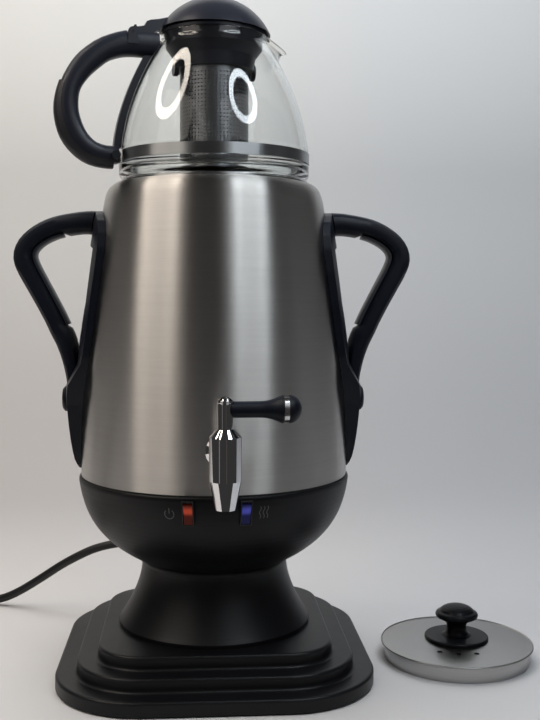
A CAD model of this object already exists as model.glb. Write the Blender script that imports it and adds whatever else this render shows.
import bpy, bmesh, math
from mathutils import Matrix, Vector
from mathutils.bvhtree import BVHTree


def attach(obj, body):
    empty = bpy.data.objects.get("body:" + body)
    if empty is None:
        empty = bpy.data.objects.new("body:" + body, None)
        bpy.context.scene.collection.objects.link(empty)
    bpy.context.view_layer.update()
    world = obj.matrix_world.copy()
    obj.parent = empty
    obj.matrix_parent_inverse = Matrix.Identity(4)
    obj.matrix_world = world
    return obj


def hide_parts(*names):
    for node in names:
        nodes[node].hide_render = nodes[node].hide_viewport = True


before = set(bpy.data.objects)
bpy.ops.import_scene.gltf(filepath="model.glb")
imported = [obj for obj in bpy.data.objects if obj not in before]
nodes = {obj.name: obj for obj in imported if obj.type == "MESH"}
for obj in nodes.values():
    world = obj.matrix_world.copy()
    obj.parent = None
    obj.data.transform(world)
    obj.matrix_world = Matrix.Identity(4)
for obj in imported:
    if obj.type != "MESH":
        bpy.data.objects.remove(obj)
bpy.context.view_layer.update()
scene = bpy.context.scene

# ---------------------------------------------------------------- camera
# Stands in front of the urn, a little to its left, and looks slightly down.
CAMERA_AT = Vector((-0.01324, -0.74933, 0.27582))
CAMERA_RIGHT = Vector((0.997324, -0.073050, 0.002867))
CAMERA_UP = Vector((0.001944, 0.065710, 0.997837))
camera_data = bpy.data.cameras.new("camera")
camera_data.sensor_fit = "VERTICAL"
camera_data.sensor_height = 36
camera_data.lens = 50
camera_data.clip_start = 0.01
camera_data.clip_end = 20
camera = bpy.data.objects.new("camera", camera_data)
back = CAMERA_RIGHT.cross(CAMERA_UP)
camera.matrix_world = Matrix((
    (CAMERA_RIGHT.x, CAMERA_UP.x, back.x, CAMERA_AT.x),
    (CAMERA_RIGHT.y, CAMERA_UP.y, back.y, CAMERA_AT.y),
    (CAMERA_RIGHT.z, CAMERA_UP.z, back.z, CAMERA_AT.z),
    (0, 0, 0, 1)))
scene.collection.objects.link(camera)
scene.camera = camera
scene.view_settings.view_transform = "Standard"


# ---------------------------------------------------------------- node trees
class Wire:
    """A socket in a node tree that can be calculated with."""

    def __init__(self, tree, socket):
        self.tree, self.socket = tree, socket

    def maths(self, operation, *others):
        return self.tree.node("ShaderNodeMath", {"operation": operation}, dict(enumerate((self,) + others)))

    def __add__(self, other):
        return self.maths("ADD", other)

    __radd__ = __add__

    def __mul__(self, other):
        return self.maths("MULTIPLY", other)

    __rmul__ = __mul__

    def __sub__(self, other):
        return self.maths("SUBTRACT", other)

    def __rsub__(self, other):
        return self.tree.node("ShaderNodeMath", {"operation": "SUBTRACT"}, {0: other, 1: self})

    def __truediv__(self, other):
        return self.maths("DIVIDE", other)

    def __pow__(self, other):
        return self.maths("POWER", other)

    def ramp(self, low, high, kind="LINEAR"):
        """0 at low, 1 at high, and clamped outside them."""
        return self.tree.node("ShaderNodeMapRange", {"interpolation_type": kind},
                              {"Value": self, "From Min": low, "From Max": high})

    def smooth(self, low, high):
        """As ramp, with soft ends."""
        return self.ramp(low, high, "SMOOTHSTEP")


class Tree:
    """Makes nodes in a material's or a geometry modifier's tree."""

    def __init__(self, tree):
        self.tree = tree

    def node(self, kind, settings=(), sockets=(), output=0):
        made = self.tree.nodes.new(kind)
        for name, value in dict(settings).items():
            setattr(made, name, value)
        for name, value in dict(sockets).items():
            self.put(made.inputs[name], value)
        return Wire(self, made.outputs[output])

    def put(self, socket, value):
        if isinstance(value, Wire):
            self.tree.links.new(value.socket, socket)
        elif isinstance(value, (tuple, list)) and len(value) == 3 and len(socket.default_value) == 4:
            socket.default_value = tuple(value) + (1,)
        else:
            socket.default_value = value

    def mix(self, factor, a, b):
        """A colour between a and b."""
        made = self.tree.nodes.new("ShaderNodeMix")
        made.data_type = "RGBA"
        for socket, value in ((made.inputs[0], factor), (made.inputs[6], a), (made.inputs[7], b)):
            self.put(socket, value)
        return Wire(self, made.outputs[2])


class Finish(Tree):
    """One material. Its principled shader's sockets are set by name."""

    def __init__(self, name, **sockets):
        self.material = bpy.data.materials.new(name)
        self.material.use_nodes = True
        super().__init__(self.material.node_tree)
        self.shader = self.tree.nodes["Principled BSDF"]
        self.set(**sockets)

    def set(self, **sockets):
        for name, value in sockets.items():
            self.put(self.shader.inputs[name.replace("_", " ")], value)

    def place(self, scale=(1, 1, 1), at=(0, 0, 0)):
        """Object coordinates, moved so that a pattern can be centred and stretched."""
        here = self.node("ShaderNodeTexCoord", output="Object")
        return self.node("ShaderNodeMapping", {"vector_type": "TEXTURE"},
                         {"Vector": here, "Location": at, "Scale": tuple(1 / s for s in scale)})

    def axes(self, at=(0, 0, 0)):
        """The three coordinates, in metres, about a point."""
        made = self.tree.nodes.new("ShaderNodeSeparateXYZ")
        self.put(made.inputs[0], self.place(at=at))
        return [Wire(self, s) for s in made.outputs]

    def noise(self, vector, scale, detail=3.0, roughness=0.5):
        return self.node("ShaderNodeTexNoise", {}, {"Vector": vector, "Scale": scale, "Detail": detail,
                                                    "Roughness": roughness})

    def bump(self, height, strength, distance=0.001):
        self.set(Normal=self.node("ShaderNodeBump", {}, {"Height": height, "Strength": strength,
                                                         "Distance": distance}))

    def join(self, x, y, z):
        return self.node("ShaderNodeCombineXYZ", {}, {0: x, 1: y, 2: z})


# ---------------------------------------------------------------- finishes
def brushed_around(name, colour, roughness, fine=2600.0, depth=0.05):
    """Steel brushed in rings about an upright axis: long fine streaks, sharp only across the brush."""
    f = Finish(name, Metallic=1.0, Anisotropic=1.0, Anisotropic_Rotation=0.25)
    x, y, z = f.axes()
    around = y.maths("ARCTAN2", x)
    streak = f.noise(f.join(around * 2.2, z * fine, 0.0), 1.0, 4.0, 0.62)
    broad = f.noise(f.join(around * 1.3, z * fine * 0.12, 3.0), 1.0, 3.0, 0.6)
    smear = f.noise(f.place(), 22.0, 4.0, 0.6)
    shade = streak * 0.55 + broad * 0.45
    dark = tuple(c * 0.88 for c in colour)
    f.set(Base_Color=f.mix(shade.ramp(0.3, 0.7), dark, colour),
          Roughness=shade * 0.06 + smear * 0.05 + (roughness - 0.055))
    f.bump(shade, depth, 0.0004)
    return f.material


def brushed_flat(name, colour, roughness, at, fine=1500.0):
    """Steel turned on a lathe: rings about an upright axis on a flat face."""
    f = Finish(name, Metallic=1.0, Anisotropic=0.6)
    x, y, z = f.axes(at)
    radius = (x * x + y * y) ** 0.5
    around = y.maths("ARCTAN2", x)
    ring = f.noise(f.join(radius * fine, around * 1.5, z * 900.0), 1.0, 4.0, 0.6)
    smear = f.noise(f.place(), 30.0, 4.0, 0.6)
    f.set(Base_Color=f.mix(ring.ramp(0.3, 0.7), tuple(c * 0.93 for c in colour), colour),
          Roughness=ring * 0.06 + smear * 0.08 + (roughness - 0.07))
    f.bump(ring, 0.03, 0.0004)
    return f.material


def polished(name, colour, roughness):
    """Smooth metal with a slight haze where it has been handled."""
    f = Finish(name, Metallic=1.0, Base_Color=colour)
    haze = f.noise(f.place(), 60.0, 5.0, 0.65)
    f.set(Roughness=haze.ramp(0.35, 0.75) * 0.07 + roughness)
    f.bump(f.noise(f.place(), 240.0, 2.0), 0.02, 0.0005)
    return f.material


def moulded(name, colour, roughness, grain, size=1500.0, gloss=0.42):
    """Plastic as moulded: a very fine spark texture, faint cloudiness in the gloss."""
    f = Finish(name, Specular_IOR_Level=gloss)
    spark = f.noise(f.place(), size, 2.0, 0.5)
    cloud = f.noise(f.place(), 16.0, 4.0, 0.6)
    rub = f.noise(f.place(), 90.0, 5.0, 0.7)
    dark, light = (tuple(c * share for c in colour) for share in (0.85, 1.15))
    f.set(Base_Color=f.mix(cloud.ramp(0.3, 0.7), dark, light),
          Roughness=cloud * 0.05 + rub.ramp(0.4, 0.75) * 0.03 + (roughness - 0.025))
    f.bump(spark, grain, 0.0003)
    return f.material


def clear_glass(name):
    """Glass with a thin film of haze in places."""
    f = Finish(name, Base_Color=(0.97, 0.985, 0.98), Transmission_Weight=1.0, IOR=1.46)
    film = f.noise(f.place(), 35.0, 4.0, 0.6)
    f.set(Roughness=film.ramp(0.55, 0.8) * 0.04)
    return f.material


ROCKER_MIDDLE, GLOW_REACH = 0.1335, 0.0042


def lit_rocker(name, deep, glow, level):
    """Clear coloured plastic with a small lamp behind it, brightest at the middle."""
    f = Finish(name, Base_Color=deep, Roughness=0.25, Specular_IOR_Level=0.25)
    height = f.axes(at=(0, 0, ROCKER_MIDDLE))[2]
    core = 1 - (height / GLOW_REACH).maths("ABSOLUTE").smooth(0.0, 1.0)
    f.set(Emission_Color=f.mix(core, tuple(c * 0.10 for c in glow), glow), Emission_Strength=level)
    return f.material


def turned_metal(name, colour, roughness, fine=2400.0):
    """Plain metal with fine marks along one way."""
    f = Finish(name, Metallic=1.0)
    ring = f.noise(f.place((fine, fine * 0.04, fine)), 1.0, 3.0)
    f.set(Base_Color=f.mix(ring, tuple(c * 0.85 for c in colour), colour), Roughness=ring * 0.12 + roughness)
    f.bump(ring, 0.08, 0.0003)
    return f.material


SHELL = brushed_around("brushed shell", (0.61, 0.59, 0.57), 0.39)
FLOOR_DISH = brushed_flat("pressed dish", (0.58, 0.57, 0.55), 0.34, (0, 0, 0))
LID_STEEL = brushed_flat("turned lid", (0.43, 0.425, 0.42), 0.30, (0.184, -0.0137, 0))
CHROME = polished("polished chrome", (0.74, 0.74, 0.755), 0.02)
BAND = brushed_around("brushed band", (0.40, 0.41, 0.42), 0.36, depth=0.02)
RING = polished("bright ring", (0.62, 0.62, 0.62), 0.16)
PLINTH = moulded("black plinth", (0.0044, 0.0046, 0.0060), 0.38, 0.08, gloss=0.28)
BOWL = moulded("black bowl", (0.0036, 0.0038, 0.0050), 0.42, 0.08, gloss=0.26)
HANDLE = moulded("black handle", (0.0058, 0.0078, 0.0145), 0.40, 0.08, gloss=0.24)
TRIM = moulded("grey strip", (0.030, 0.033, 0.042), 0.40, 0.10)
POT_BLACK = moulded("smooth black", (0.0180, 0.0205, 0.0310), 0.34, 0.06, gloss=0.32)
POT_TRIM = moulded("outer strip", (0.020, 0.020, 0.025), 0.42, 0.10)
KNOB = moulded("knob black", (0.0050, 0.0056, 0.0072), 0.30, 0.05, gloss=0.12)
SWITCH_BODY = moulded("switch frame", (0.012, 0.012, 0.013), 0.30, 0.05)
LEAD = moulded("lead sheath", (0.013, 0.013, 0.014), 0.42, 0.16, size=900.0)
RUBBER = moulded("rubber", (0.02, 0.02, 0.02), 0.7, 0.3, size=700.0)
IVORY = moulded("terminal resin", (0.72, 0.68, 0.58), 0.45, 0.1)
CERAMIC = moulded("ceramic", (0.09, 0.08, 0.07), 0.6, 0.2)
ZINC = turned_metal("zinc", (0.60, 0.61, 0.63), 0.28)
BLACKED = turned_metal("blackened steel", (0.035, 0.036, 0.04), 0.32)
BRASS = turned_metal("brass", (0.68, 0.52, 0.26), 0.22)
ALUMINIUM = turned_metal("aluminium plate", (0.72, 0.72, 0.73), 0.35, 900.0)
SHEATH = turned_metal("element sheath", (0.32, 0.29, 0.27), 0.45, 900.0)
GLASS = clear_glass("clear glass")
SIEVE = turned_metal("sieve steel", (0.23, 0.235, 0.25), 0.32, 900.0)
RED = lit_rocker("red rocker", (0.030, 0.002, 0.002), (1.0, 0.10, 0.03), 0.30)
BLUE = lit_rocker("blue rocker", (0.003, 0.003, 0.024), (0.14, 0.16, 1.0), 0.26)
INK = moulded("grey print", (0.13, 0.13, 0.135), 0.5, 0.02)

FINISHES = {
    "rubber_feet": RUBBER, "shell_seal": RUBBER, "tap_seals": RUBBER,
    "plinth": PLINTH, "plinth_cover": PLINTH, "bowl": BOWL,
    "cover_screws": ZINC, "tie_rods": ZINC, "tie_nuts": ZINC, "handle_screws": ZINC, "lid_screw": ZINC,
    "hinge_pin": BLACKED, "band_screw": BLACKED, "tap_nut": ZINC, "lever_stud": ZINC,
    "body_shell": SHELL, "tank_floor": FLOOR_DISH, "lid_pan": LID_STEEL,
    "heater_plate": ALUMINIUM, "heating_element": SHEATH,
    "thermostat": CERAMIC, "thermal_cutout": CERAMIC, "terminal_block": IVORY,
    "top_ring": RING, "pot_band": BAND,
    "tap_body": CHROME, "tap_rosette": CHROME, "tap_head": CHROME, "tap_cap_screw": CHROME,
    "lever_ring": RING, "tap_plug": BRASS,
    "left_mount": HANDLE, "right_mount": HANDLE, "left_grip": HANDLE, "right_grip": HANDLE,
    "left_screw_cap": HANDLE, "right_screw_cap": HANDLE,
    "left_grip_cover": TRIM, "right_grip_cover": TRIM, "pot_handle_trim": POT_TRIM,
    "lever_arm": HANDLE, "lever_knob": HANDLE,
    "power_switch": SWITCH_BODY, "warm_switch": SWITCH_BODY, "power_rocker": RED, "warm_rocker": BLUE,
    "strain_relief": LEAD, "mains_lead": LEAD, "lead_coil": LEAD, "mains_plug": LEAD,
    "lid_escutcheon": KNOB, "lid_knob": KNOB,
    "pot_glass": GLASS, "pot_handle": POT_BLACK, "pot_lid": POT_BLACK, "infuser_collar": POT_BLACK,
    "infuser_sleeve": SIEVE, "infuser_base": SIEVE,
}
for name, material in FINISHES.items():
    nodes[name].data.materials.clear()
    nodes[name].data.materials.append(material)


# ---------------------------------------------------------------- small makers
def new_piece(name, mesh, body, material):
    piece = bpy.data.objects.new(name, mesh)
    scene.collection.objects.link(piece)
    mesh.materials.append(material)
    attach(piece, body)
    return piece


def mesh_from(name, points, faces, smooth=False):
    mesh = bpy.data.meshes.new(name)
    mesh.from_pydata([tuple(p) for p in points], [], faces)
    mesh.validate()
    if smooth:
        mesh.shade_smooth()
    return mesh


# ---------------------------------------------------------------- mains lead
# The same route as the solids: a free stretch, a coil of two layers and a short straight end.
LEAD_POINTS = [
    (-49.4, 70.6, 66), (-54.2, 77.4, 66), (-61, 86, 65.6), (-70, 94.5, 64.6), (-80.5, 101, 62.8),
    (-92, 104.6, 60), (-104, 107.6, 55.8), (-117.5, 111, 48.9), (-131, 116, 40.6), (-145, 121.5, 30.6),
    (-159, 127, 20.8), (-173, 132, 12), (-186, 136, 6.2), (-199, 139, 3.9), (-212, 140.8, 3.6),
    (-225, 141, 3.6), (-238, 141, 3.6), (-245, 141, 3.6)]
COIL_AT, COIL_RADIUS, COIL_STEP, COIL_RISE = (-245.0, 97.0, 3.6), 44.0, 7.6, 7.6
TURNS_IN, PLUG_HEIGHT, PLUG_RUN = 1.875, 18.8, 21.0
TURNS = 2 * TURNS_IN + 0.5
CLIMB, LAST_CLIMB = 0.5, 0.34   # turns in which the coil rises to its second layer, and to the plug
POINTS_PER_TURN = 28
LEAD_THICKNESS = 0.007


def ease(x):
    t = min(max(x, 0), 1)
    return t * t * (3 - 2 * t)


def coil_point(t):
    a = math.radians(90 + 360 * t)
    r = COIL_RADIUS - COIL_STEP * (TURNS / 2 - math.sqrt((t - TURNS / 2) ** 2 + 0.004))
    z = (COIL_RISE * ease((t - TURNS_IN) / CLIMB)
         + (PLUG_HEIGHT - COIL_AT[2] - COIL_RISE) * ease((t - TURNS + LAST_CLIMB) / LAST_CLIMB))
    return (COIL_AT[0] + r * math.cos(a), COIL_AT[1] + r * math.sin(a), COIL_AT[2] + z)


def through(points, per):
    """A smooth curve through the points, with some extra ones between each two."""
    n = len(points) - 1
    out = []
    for i in range(n):
        a, b, c, d = (points[max(i - 1, 0)], points[i], points[i + 1], points[min(i + 2, n)])
        for k in range(per):
            t = k / per
            out.append(tuple(0.5 * (2 * b[j] + (c[j] - a[j]) * t
                                    + (2 * a[j] - 5 * b[j] + 4 * c[j] - d[j]) * t * t
                                    + (3 * b[j] - a[j] - 3 * c[j] + d[j]) * t ** 3) for j in range(3)))
    return out + [points[-1]]


route = through(LEAD_POINTS, 3)[:-1]
route += [coil_point(i / POINTS_PER_TURN) for i in range(int(POINTS_PER_TURN * TURNS) + 1)]
last = coil_point(TURNS)
route += [(last[0], last[1] - PLUG_RUN * k / 3, last[2]) for k in (1, 2, 3)]
route = [tuple(c / 1000 for c in p) for p in route]

lead_curve = bpy.data.curves.new("lead", "CURVE")
lead_curve.dimensions = "3D"
spline = lead_curve.splines.new("POLY")
spline.points.add(len(route) - 1)
for point, place in zip(spline.points, route):
    point.co = place + (1,)
lead_curve.bevel_depth = LEAD_THICKNESS / 2
lead_curve.bevel_resolution = 4
lead_curve.use_fill_caps = True
lead_curve.materials.append(LEAD)
lead = bpy.data.objects.new("lead", lead_curve)
scene.collection.objects.link(lead)
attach(lead, "urn")
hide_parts("mains_lead", "lead_coil")


# ---------------------------------------------------------------- infuser sleeve
# Sheet steel with 1500 punched holes: one punched cell, repeated on a grid, given its
# thickness and then rolled into a tube about the teapot's axis.
SIEVE_SIZES = (
    ("Radius", "Float", 0.0243), ("Wall", "Float", 0.001), ("Columns", "Int", 60), ("Rows", "Int", 25),
    ("Row Height", "Float", 0.00266), ("Hole Radius", "Float", 0.00056), ("Foot", "Float", 0.3664),
    ("Foot Rim", "Float", 0.0024), ("Head Rim", "Float", 0.0116))
WELD = 0.00005


def rolled_sieve():
    group = bpy.data.node_groups.new("rolled sieve", "GeometryNodeTree")
    names = {}
    for name, kind, value in SIEVE_SIZES:
        made = group.interface.new_socket(name, in_out="INPUT", socket_type="NodeSocket" + kind)
        made.default_value = value
        names[name] = made.identifier
    group.interface.new_socket("Geometry", in_out="OUTPUT", socket_type="NodeSocketGeometry")
    t = Tree(group)
    given = group.nodes.new("NodeGroupInput")
    size = {name: Wire(t, given.outputs[name]) for name in names}
    pitch = size["Radius"] * math.tau / size["Columns"]
    width = pitch * size["Columns"]
    height = size["Row Height"] * size["Rows"]

    def joined(*parts):
        made = group.nodes.new("GeometryNodeJoinGeometry")
        for part in parts:
            group.links.new(part.socket, made.inputs[0])
        return Wire(t, made.outputs[0])

    def vector(x, y, z):
        return t.node("ShaderNodeCombineXYZ", {}, {"X": x, "Y": y, "Z": z})

    # one cell: a square with a round hole
    square = t.node("GeometryNodeCurvePrimitiveQuadrilateral", {},
                    {"Width": pitch, "Height": size["Row Height"]})
    hole = t.node("GeometryNodeCurvePrimitiveCircle", {}, {"Resolution": 8, "Radius": size["Hole Radius"]})
    cell = t.node("GeometryNodeFillCurve", {}, {"Curve": joined(square, hole)})
    points = t.node("GeometryNodeMeshGrid", {}, {
        "Size X": width - pitch, "Size Y": height - size["Row Height"],
        "Vertices X": size["Columns"], "Vertices Y": size["Rows"]})
    sheet = t.node("GeometryNodeInstanceOnPoints", {}, {"Points": points, "Instance": cell})
    sheet = t.node("GeometryNodeRealizeInstances", {}, {"Geometry": sheet})
    sheet = t.node("GeometryNodeTransform", {}, {
        "Geometry": sheet, "Translation": vector(width * 0.5, height * 0.5 + size["Foot Rim"], 0.0)})

    # plain rims under and over the holes
    def rim(low, tall):
        strip = t.node("GeometryNodeMeshGrid", {}, {
            "Size X": width, "Size Y": tall, "Vertices X": size["Columns"] + 1, "Vertices Y": 2})
        return t.node("GeometryNodeTransform", {}, {
            "Geometry": strip, "Translation": vector(width * 0.5, low + tall * 0.5, 0.0)})

    flat = joined(sheet, rim(0.0, size["Foot Rim"]), rim(size["Foot Rim"] + height, size["Head Rim"]))
    flat = t.node("GeometryNodeMergeByDistance", {}, {"Geometry": flat, "Distance": WELD})
    raised = t.node("GeometryNodeExtrudeMesh", {}, {
        "Mesh": flat, "Offset": vector(0.0, 0.0, 1.0), "Offset Scale": size["Wall"], "Individual": False})
    turned = t.node("GeometryNodeFlipFaces", {}, {"Mesh": flat})
    solid = joined(raised, turned)
    here = group.nodes.new("ShaderNodeSeparateXYZ")
    group.links.new(t.node("GeometryNodeInputPosition").socket, here.inputs[0])
    x, y, z = (Wire(t, s) for s in here.outputs)
    turn = x / size["Radius"]
    out = size["Radius"] + z
    around = vector(out * turn.maths("COSINE"), out * turn.maths("SINE"), y + size["Foot"])
    rolled = t.node("GeometryNodeSetPosition", {}, {"Geometry": solid, "Position": around})
    rolled = t.node("GeometryNodeMergeByDistance", {}, {"Geometry": rolled, "Distance": WELD})
    rolled = t.node("GeometryNodeRealizeInstances", {}, {"Geometry": rolled})
    done = t.node("GeometryNodeSetMaterial", {}, {"Geometry": rolled, "Material": SIEVE})
    group.links.new(done.socket, group.nodes.new("NodeGroupOutput").inputs[0])
    return group


def baked(name, group):
    """The plain mesh that a geometry tree makes."""
    carrier = bpy.data.objects.new(name, bpy.data.meshes.new(name))
    scene.collection.objects.link(carrier)
    carrier.modifiers.new("tree", "NODES").node_group = group
    graph = bpy.context.evaluated_depsgraph_get()
    mesh = bpy.data.meshes.new_from_object(carrier.evaluated_get(graph), depsgraph=graph)
    bpy.data.objects.remove(carrier)
    mesh.name = name
    return mesh


sieve = baked("punched_sleeve", rolled_sieve())
sieve.shade_smooth()
sieve.set_sharp_from_angle(angle=math.radians(40))
sleeve = bpy.data.objects.new("punched_sleeve", sieve)
scene.collection.objects.link(sleeve)
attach(sleeve, "teapot")
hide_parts("infuser_sleeve")


# ---------------------------------------------------------------- teapot glass
# Blown in one piece: foot, seat of the steel band, dome, neck, and a lip pulled out on one side.
# Sizes are in mm.
POT_FOOT, POT_RIM, POT_RADIUS, POT_NECK, POT_WALL = 358.6, 463.6, 70.0, 39.0, 2.2
BAND_FOOT, BAND_TOP, BAND_SEAT, POT_TURN = 370.4, 378.3, 1.0, 12.8
LIP_HALF_WIDTH, LIP_REACH, LIP_DROP, LIP_HEIGHT = 14.5, 17.0, 8.5, 20.0
LIP_NARROWING, LIP_CURL, POT_FLOOR_REACH = 2.2, 1.1, 20


def bezier(points, n):
    """A curve with any number of control points."""
    def at(t):
        row = [Vector(p) for p in points]
        while len(row) > 1:
            row = [a.lerp(b, t) for a, b in zip(row, row[1:])]
        return row[0]
    return [at(i / n) for i in range(n + 1)]


def rounded(centre, radius, first, last, n):
    """An arc from one angle to another, in degrees."""
    angles = [math.radians(first + (last - first) * i / n) for i in range(n + 1)]
    return [Vector(centre) + radius * Vector((math.cos(a), math.sin(a))) for a in angles]


def moved_in(line, by):
    """The same line, moved square to itself towards the axis."""
    out = []
    for i, p in enumerate(line):
        way = (line[min(i + 1, len(line) - 1)] - line[max(i - 1, 0)]).normalized()
        out.append(p - by * Vector((way.y, -way.x)))
    return out


seat = POT_RADIUS - BAND_SEAT
dome = bezier([(seat + 0.4, BAND_TOP + 1.4), (POT_RADIUS - 2.5, BAND_TOP + 21),
               (POT_RADIUS - 10, BAND_TOP + 49.5), (POT_NECK, POT_RIM - 5)], 44)
neck = [Vector((POT_NECK, POT_RIM - 5 + 5 * i / 4)) for i in range(1, 4)]
outside = [Vector((r, POT_FOOT)) for r in (0, 30, 60)] + rounded((POT_RADIUS - 5, POT_FOOT + 5), 5, -84, 0, 8)
outside += [Vector((POT_RADIUS, BAND_FOOT - 0.5)), Vector((seat, BAND_FOOT)), Vector((seat, BAND_TOP))]
outside += dome + neck
lip_edge = rounded((POT_NECK - POT_WALL / 2, POT_RIM - POT_WALL / 2), POT_WALL / 2, 0, 180, 8)
inside = [Vector((POT_NECK - POT_WALL, p.y)) for p in reversed(neck)] + list(reversed(moved_in(dome, POT_WALL)))
inside += [Vector((seat - POT_WALL, BAND_TOP)), Vector((seat - POT_WALL, BAND_FOOT + 2))]
inside += rounded((seat - POT_WALL - 7, POT_FOOT + 11.4), 7, 0, -90, 10)
inside += [Vector((30, POT_FOOT + 4.2)), Vector((0, POT_FOOT + 4))]


def with_lip(r, z, azimuth):
    """Pulls a point of the neck out and a little down on the pouring side."""
    a = (azimuth + 180) % 360 - 180
    across = math.radians(a) * POT_NECK / LIP_HALF_WIDTH
    rise = min(max((z - (POT_RIM - LIP_HEIGHT)) / LIP_HEIGHT, 0), 1)
    on_neck = r > POT_FLOOR_REACH and rise > 0
    pull = math.exp(-LIP_NARROWING * across * across) * rise ** LIP_CURL if on_neck else 0.0
    return r + LIP_REACH * pull, z - LIP_DROP * pull * rise


def blown_glass(name, count=240):
    outline = outside + lip_edge + inside
    points, faces = [], []
    for i in range(count):
        a = 360 * i / count
        for p in outline[1:-1]:
            r, z = with_lip(p.x, p.y, a)
            turn = math.radians(a + POT_TURN)
            points.append((r * math.cos(turn) / 1000, r * math.sin(turn) / 1000, z / 1000))
    rings = len(outline) - 2
    poles = [len(points), len(points) + 1]
    points += [(0, 0, outline[0].y / 1000), (0, 0, outline[-1].y / 1000)]
    for i in range(count):
        here, there = i * rings, (i + 1) % count * rings
        faces += [(here + k, there + k, there + k + 1, here + k + 1) for k in range(rings - 1)]
        faces += [(poles[0], there, here), (here + rings - 1, there + rings - 1, poles[1])]
    mesh = mesh_from(name, points, faces, True)
    mesh.set_sharp_from_angle(angle=math.radians(50))
    return mesh


blown = new_piece("blown_glass", blown_glass("blown_glass"), "teapot", GLASS)
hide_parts("pot_glass")


# ---------------------------------------------------------------- mouldings with even skins
def even_skin(node, body, angle=38, turned=False):
    """A piece's own solid with its triangles joined and its curved faces shaded as one.

    A piece turned about an upright axis keeps each ring where its outline bends as a crisp edge."""
    mesh = nodes[node].data.copy()
    mesh.name = "smooth_" + node
    work = bmesh.new()
    work.from_mesh(mesh)
    bmesh.ops.remove_doubles(work, verts=work.verts, dist=0.00002)
    for face in work.faces:
        face.smooth = True
    for edge in work.edges:
        a, b = (v.co for v in edge.verts)
        level = turned and abs(a.z - b.z) < 0.00002
        bend = edge.calc_face_angle(0.0)
        edge.smooth = bend < math.radians(4 if level else angle)
    work.to_mesh(mesh)
    work.free()
    piece = bpy.data.objects.new(mesh.name, mesh)
    scene.collection.objects.link(piece)
    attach(piece, body)
    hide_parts(node)


for node, body, slot in (("left_grip", "urn", "black_handle"), ("right_grip", "urn", "black_handle"),
                         ("left_grip_cover", "urn", "grey_trim"), ("right_grip_cover", "urn", "grey_trim"),
                         ("left_mount", "urn", "black_handle"), ("right_mount", "urn", "black_handle"),
                         ("pot_handle", "teapot", "black_pot"), ("pot_handle_trim", "teapot", "black_pot"),
                         ("lever_ring", "tap_lever", "chrome"), ("lever_arm", "tap_lever", "black_handle")):
    even_skin(node, body)
for node, body, slot in (("tap_body", "urn", "chrome"), ("tap_head", "tap_lever", "chrome")):
    even_skin(node, body, turned=True)


# ---------------------------------------------------------------- the urn's own lid
# Pressed and turned from one sheet, with a rolled edge and three drilled vents. Sizes are in mm.
LID_AT, LID_RADIUS, LID_SKIRT = (184.0, -13.7), 57.3, 54.5
LID_SKIRT_HEIGHT, LID_DOME, LID_SHEET = 12.0, 3.2, 1.0
VENT_RADIUS, VENT_OUT, VENT_TURNS, VENT_LOW, VENT_HIGH = 2.0, 34.0, (-125, -102, -79), 8, 20


def lathed(name, outline, at, count=192):
    """A closed outline of (radius, height) turned about an upright axis."""
    points, faces = [], []
    rings = len(outline)
    for i in range(count):
        turn = math.tau * i / count
        points += [((at[0] + p.x * math.cos(turn)) / 1000, (at[1] + p.x * math.sin(turn)) / 1000, p.y / 1000)
                   for p in outline]
        here, there = i * rings, (i + 1) % count * rings
        faces += [(here + k, there + k, there + (k + 1) % rings, here + (k + 1) % rings) for k in range(rings)]
    return mesh_from(name, points, faces, True)


def drilled(mesh, tools):
    """The mesh less upright round holes, given as (x, y, radius, low, high) in mm."""
    carrier = bpy.data.objects.new(mesh.name, mesh)
    scene.collection.objects.link(carrier)
    for x, y, radius, low, high in tools:
        bit = bmesh.new()
        middle = Matrix.Translation((x / 1000, y / 1000, (low + high) / 2000))
        bmesh.ops.create_cone(bit, cap_ends=True, segments=32, radius1=radius / 1000, radius2=radius / 1000,
                              depth=(high - low) / 1000, matrix=middle)
        cut = bpy.data.meshes.new("bit")
        bit.to_mesh(cut)
        bit.free()
        tool = bpy.data.objects.new("bit", cut)
        scene.collection.objects.link(tool)
        away = carrier.modifiers.new("hole", "BOOLEAN")
        away.operation, away.solver, away.object = "DIFFERENCE", "EXACT", tool
        graph = bpy.context.evaluated_depsgraph_get()
        done = bpy.data.meshes.new_from_object(carrier.evaluated_get(graph), depsgraph=graph)
        carrier.modifiers.clear()
        carrier.data = done
        bpy.data.objects.remove(tool)
    bpy.data.objects.remove(carrier)
    done.name = mesh.name
    return done


def domed(radii, height):
    """Points of the lid's low dome at some radii."""
    return [Vector((r, height + LID_DOME * (1 - (r / LID_RADIUS) ** 2))) for r in radii]


LID_UNDER = LID_SKIRT_HEIGHT - LID_SHEET
face = domed((56, 50, 40, 30, 20, 10, 2.4), LID_SKIRT_HEIGHT)
roll = rounded((LID_RADIUS - 0.8, LID_SKIRT_HEIGHT - 0.1), 0.8, -90, 78, 8)
under = domed((2.4, 20, 40), LID_UNDER)
skirt = [Vector(p) for p in ((LID_SKIRT - LID_SHEET, LID_UNDER), (LID_SKIRT - LID_SHEET, 0), (LID_SKIRT, 0),
                             (LID_SKIRT, LID_UNDER - 0.4), (LID_SKIRT + 0.4, LID_UNDER + 0.1))]
vents = [(LID_AT[0] + VENT_OUT * math.cos(a), LID_AT[1] + VENT_OUT * math.sin(a),
          VENT_RADIUS, VENT_LOW, VENT_HIGH) for a in map(math.radians, VENT_TURNS)]
pan = drilled(lathed("pressed_lid", roll + face + under + skirt, LID_AT), vents)
pan.shade_smooth()
pan.set_sharp_from_angle(angle=math.radians(35))
pan.materials.clear()
pressed = new_piece("pressed_lid", pan, "loose_lid", LID_STEEL)
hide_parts("lid_pan")


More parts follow.
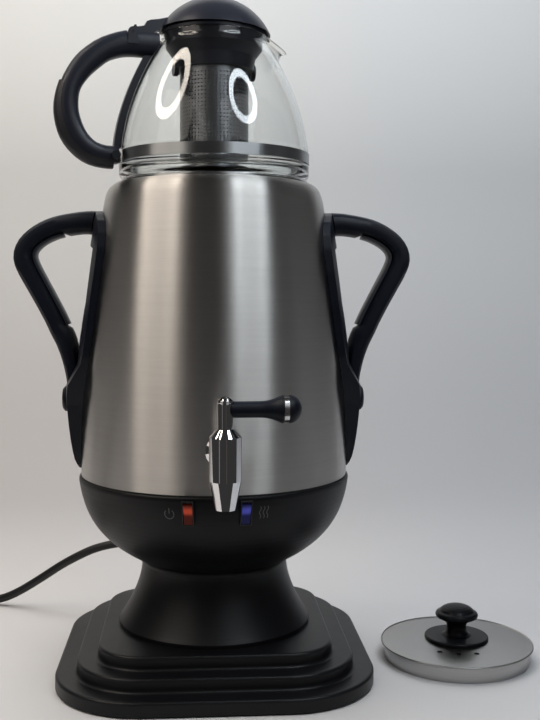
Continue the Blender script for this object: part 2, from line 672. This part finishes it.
# ---------------------------------------------------------------- printed signs beside the switches
def surface_of(node):
    solid = nodes[node]
    return BVHTree.FromPolygons([solid.matrix_world @ v.co for v in solid.data.vertices],
                                [p.vertices[:] for p in solid.data.polygons])


BOWL_SURFACE = surface_of("bowl")
BOWL_RADIUS = 99.0              # mm
OUTSIDE = 0.2                   # metres from the axis, clear of the bowl
PRINT_LIFT = 0.00006            # metres, so that the print lies just on the bowl


def on_bowl(azimuth, height, u, v):
    """The point on the bowl u mm to the right of and v mm above a place on its front."""
    a = math.radians(azimuth) + u / BOWL_RADIUS
    start = Vector((OUTSIDE * math.sin(a), -OUTSIDE * math.cos(a), (height + v) / 1000))
    hit = BOWL_SURFACE.ray_cast(start, Vector((-math.sin(a), math.cos(a), 0)))[0]
    return hit + Vector((math.sin(a), -math.cos(a), -0.2)).normalized() * PRINT_LIFT


def printed(name, azimuth, height, strokes, width):
    """A sign of flat strokes, laid on the bowl."""
    points, faces = [], []
    for stroke in strokes:
        first = len(points)
        for i, (u, v) in enumerate(stroke):
            a, b = stroke[max(i - 1, 0)], stroke[min(i + 1, len(stroke) - 1)]
            along = Vector((b[0] - a[0], b[1] - a[1])).normalized() * width / 2
            points += [on_bowl(azimuth, height, u - along.y, v + along.x),
                       on_bowl(azimuth, height, u + along.y, v - along.x)]
        corners = range(first, first + 2 * len(stroke) - 2, 2)
        faces += [(k + 1, k + 3, k + 2, k) for k in corners]
    return new_piece(name, mesh_from(name, points, faces, True), "urn", INK)


WAVE_GAP, WAVE_SWING, WAVE_TALL, WAVE_STEPS = 2.6, 0.55, 8.4, 24
POWER_RADIUS, STROKE = 3.2, 0.55
WAVES = [[(WAVE_GAP * k + WAVE_SWING * math.sin(math.tau * (i / WAVE_STEPS) * 1.5),
           WAVE_TALL / 2 - WAVE_TALL * i / WAVE_STEPS) for i in range(WAVE_STEPS + 1)] for k in (-1, 0, 1)]
POWER = [[(POWER_RADIUS * math.sin(a), POWER_RADIUS * math.cos(a))
          for a in map(math.radians, range(38, 323, 12))],
         [(0.0, 0.4), (0.0, 2.2), (0.0, 4.2)]]
printed("keep_warm_sign", 18.3, 131.2, WAVES, STROKE)
printed("power_sign", -18.6, 130.6, POWER, STROKE)


# ---------------------------------------------------------------- floor, backdrop and lamps
def staged(name, mesh, material):
    stage = bpy.data.objects.new(name, mesh)
    stage.data.materials.append(material)
    scene.collection.objects.link(stage)


def sweep(name, left, rear_left, right, front, rear, radius, top, material):
    """A floor that turns up into a backdrop in one curve. Its left edge slants in towards the front."""
    profile = [(front, 0.0), (rear - radius, 0.0)]
    profile += [(rear - radius + radius * math.sin(a), radius - radius * math.cos(a))
                for a in [math.radians(90 * i / 16) for i in range(1, 17)]]
    profile.append((rear, top))
    points = [(x, y, z) for y, z in profile for x in (left if y == front else rear_left, right)]
    faces = [(2 * i, 2 * i + 1, 2 * i + 3, 2 * i + 2) for i in range(len(profile) - 1)]
    staged(name, mesh_from(name, points, faces, True), material)


paper = Finish("pale paper", Roughness=0.75, Specular_IOR_Level=0.2)
px, py, pz = paper.axes()
side = px.smooth(-0.45, 0.5)
far = py.smooth(-0.1, 0.65)
high = pz.smooth(-0.03, 0.80)
table = paper.mix(far, paper.mix(side, (0.66, 0.635, 0.62), (0.43, 0.445, 0.475)),
                  paper.mix(side, (0.42, 0.395, 0.38), (0.355, 0.368, 0.395)))
paper.set(Base_Color=paper.mix(high, table, paper.mix(side, (0.90, 0.89, 0.86), (0.76, 0.80, 0.84))))
sweep("backdrop", left=-0.55, rear_left=-1.4, right=1.4, front=-0.27, rear=1.1, radius=0.5, top=2.4,
      material=paper.material)


def lamp(name, at, towards, size, power, colour):
    data = bpy.data.lights.new(name, "AREA")
    data.shape = "RECTANGLE"
    data.size, data.size_y = size
    data.energy = power
    data.color = colour
    light = bpy.data.objects.new(name, data)
    light.location = at
    light.rotation_euler = (Vector(towards) - Vector(at)).to_track_quat("-Z", "Y").to_euler()
    scene.collection.objects.link(light)
    return light


def glowing(name, colour, strength):
    return Finish(name, Base_Color=(0, 0, 0), Roughness=1.0, Emission_Color=colour,
                  Emission_Strength=strength).material


def ring_lamp(name, at, towards, outer, inner, colour, strength, count=64):
    """A round studio lamp with a hole in its middle."""
    look = (Vector(towards) - Vector(at)).to_track_quat("-Z", "Y").to_matrix()
    turns = [math.tau * i / count for i in range(count)]
    points = [Vector(at) + look @ Vector((r * math.cos(a), r * math.sin(a), 0))
              for r in (inner, outer) for a in turns]
    faces = [(i, (i + 1) % count, count + (i + 1) % count, count + i) for i in range(count)]
    staged(name, mesh_from(name, points, faces), glowing(name, colour, strength))


def glow_card(name, at, width, height, colour, strength):
    """An upright faint card out in the room, which the chrome tap shows as a streak."""
    centre = Vector(at)
    across = Vector((centre.y, -centre.x, 0)).normalized() * width / 2
    up = Vector((0, 0, height / 2))
    points = [centre - across - up, centre + across - up, centre + across + up, centre - across + up]
    staged(name, mesh_from(name, points, [(0, 1, 2, 3)]), glowing(name, colour, strength))


RING_AIM, PANEL_AIM = (0, -0.02, 0.40), (0, -0.05, 0.28)
glow_card("left streak", (-1.11, -1.27, 0.0), 0.16, 1.3, (1.0, 0.95, 0.9), 0.22)
glow_card("middle streak", (0.20, -1.71, 0.0), 0.07, 1.3, (1.0, 0.72, 0.66), 0.13)
ring_lamp("warm ring lamp", (-0.615, -0.200, 1.036), RING_AIM, 0.290, 0.196, (1.0, 0.90, 0.79), 8.5)
ring_lamp("cool ring lamp", (0.290, -0.330, 0.775), RING_AIM, 0.158, 0.110, (0.86, 0.94, 1.0), 12)
lamp("warm panel", (-0.575, -0.45, 0.66), PANEL_AIM, (0.53, 0.62), 0.88, (1.0, 0.92, 0.83))
lamp("cool panel", (0.345, -0.63, 0.66), PANEL_AIM, (0.45, 0.62), 0.70, (0.93, 0.97, 1.0))
ceiling = lamp("ceiling", (0.0, 0.25, 2.2), (0, 0.15, 0), (2.4, 1.8), 34, (1.0, 0.995, 0.985))
wash = lamp("backdrop lamp", (0.0, 0.35, 1.7), (0, 1.2, 0.75), (1.6, 0.6), 9, (1.0, 0.99, 0.97))
for soft in (ceiling, wash):
    soft.visible_glossy = soft.visible_transmission = False

world = bpy.data.worlds.new("room")
world.use_nodes = True
scene.world = world
room = world.node_tree.nodes["Background"].inputs
room["Color"].default_value = (0.50, 0.48, 0.47, 1)
room["Strength"].default_value = 0.08
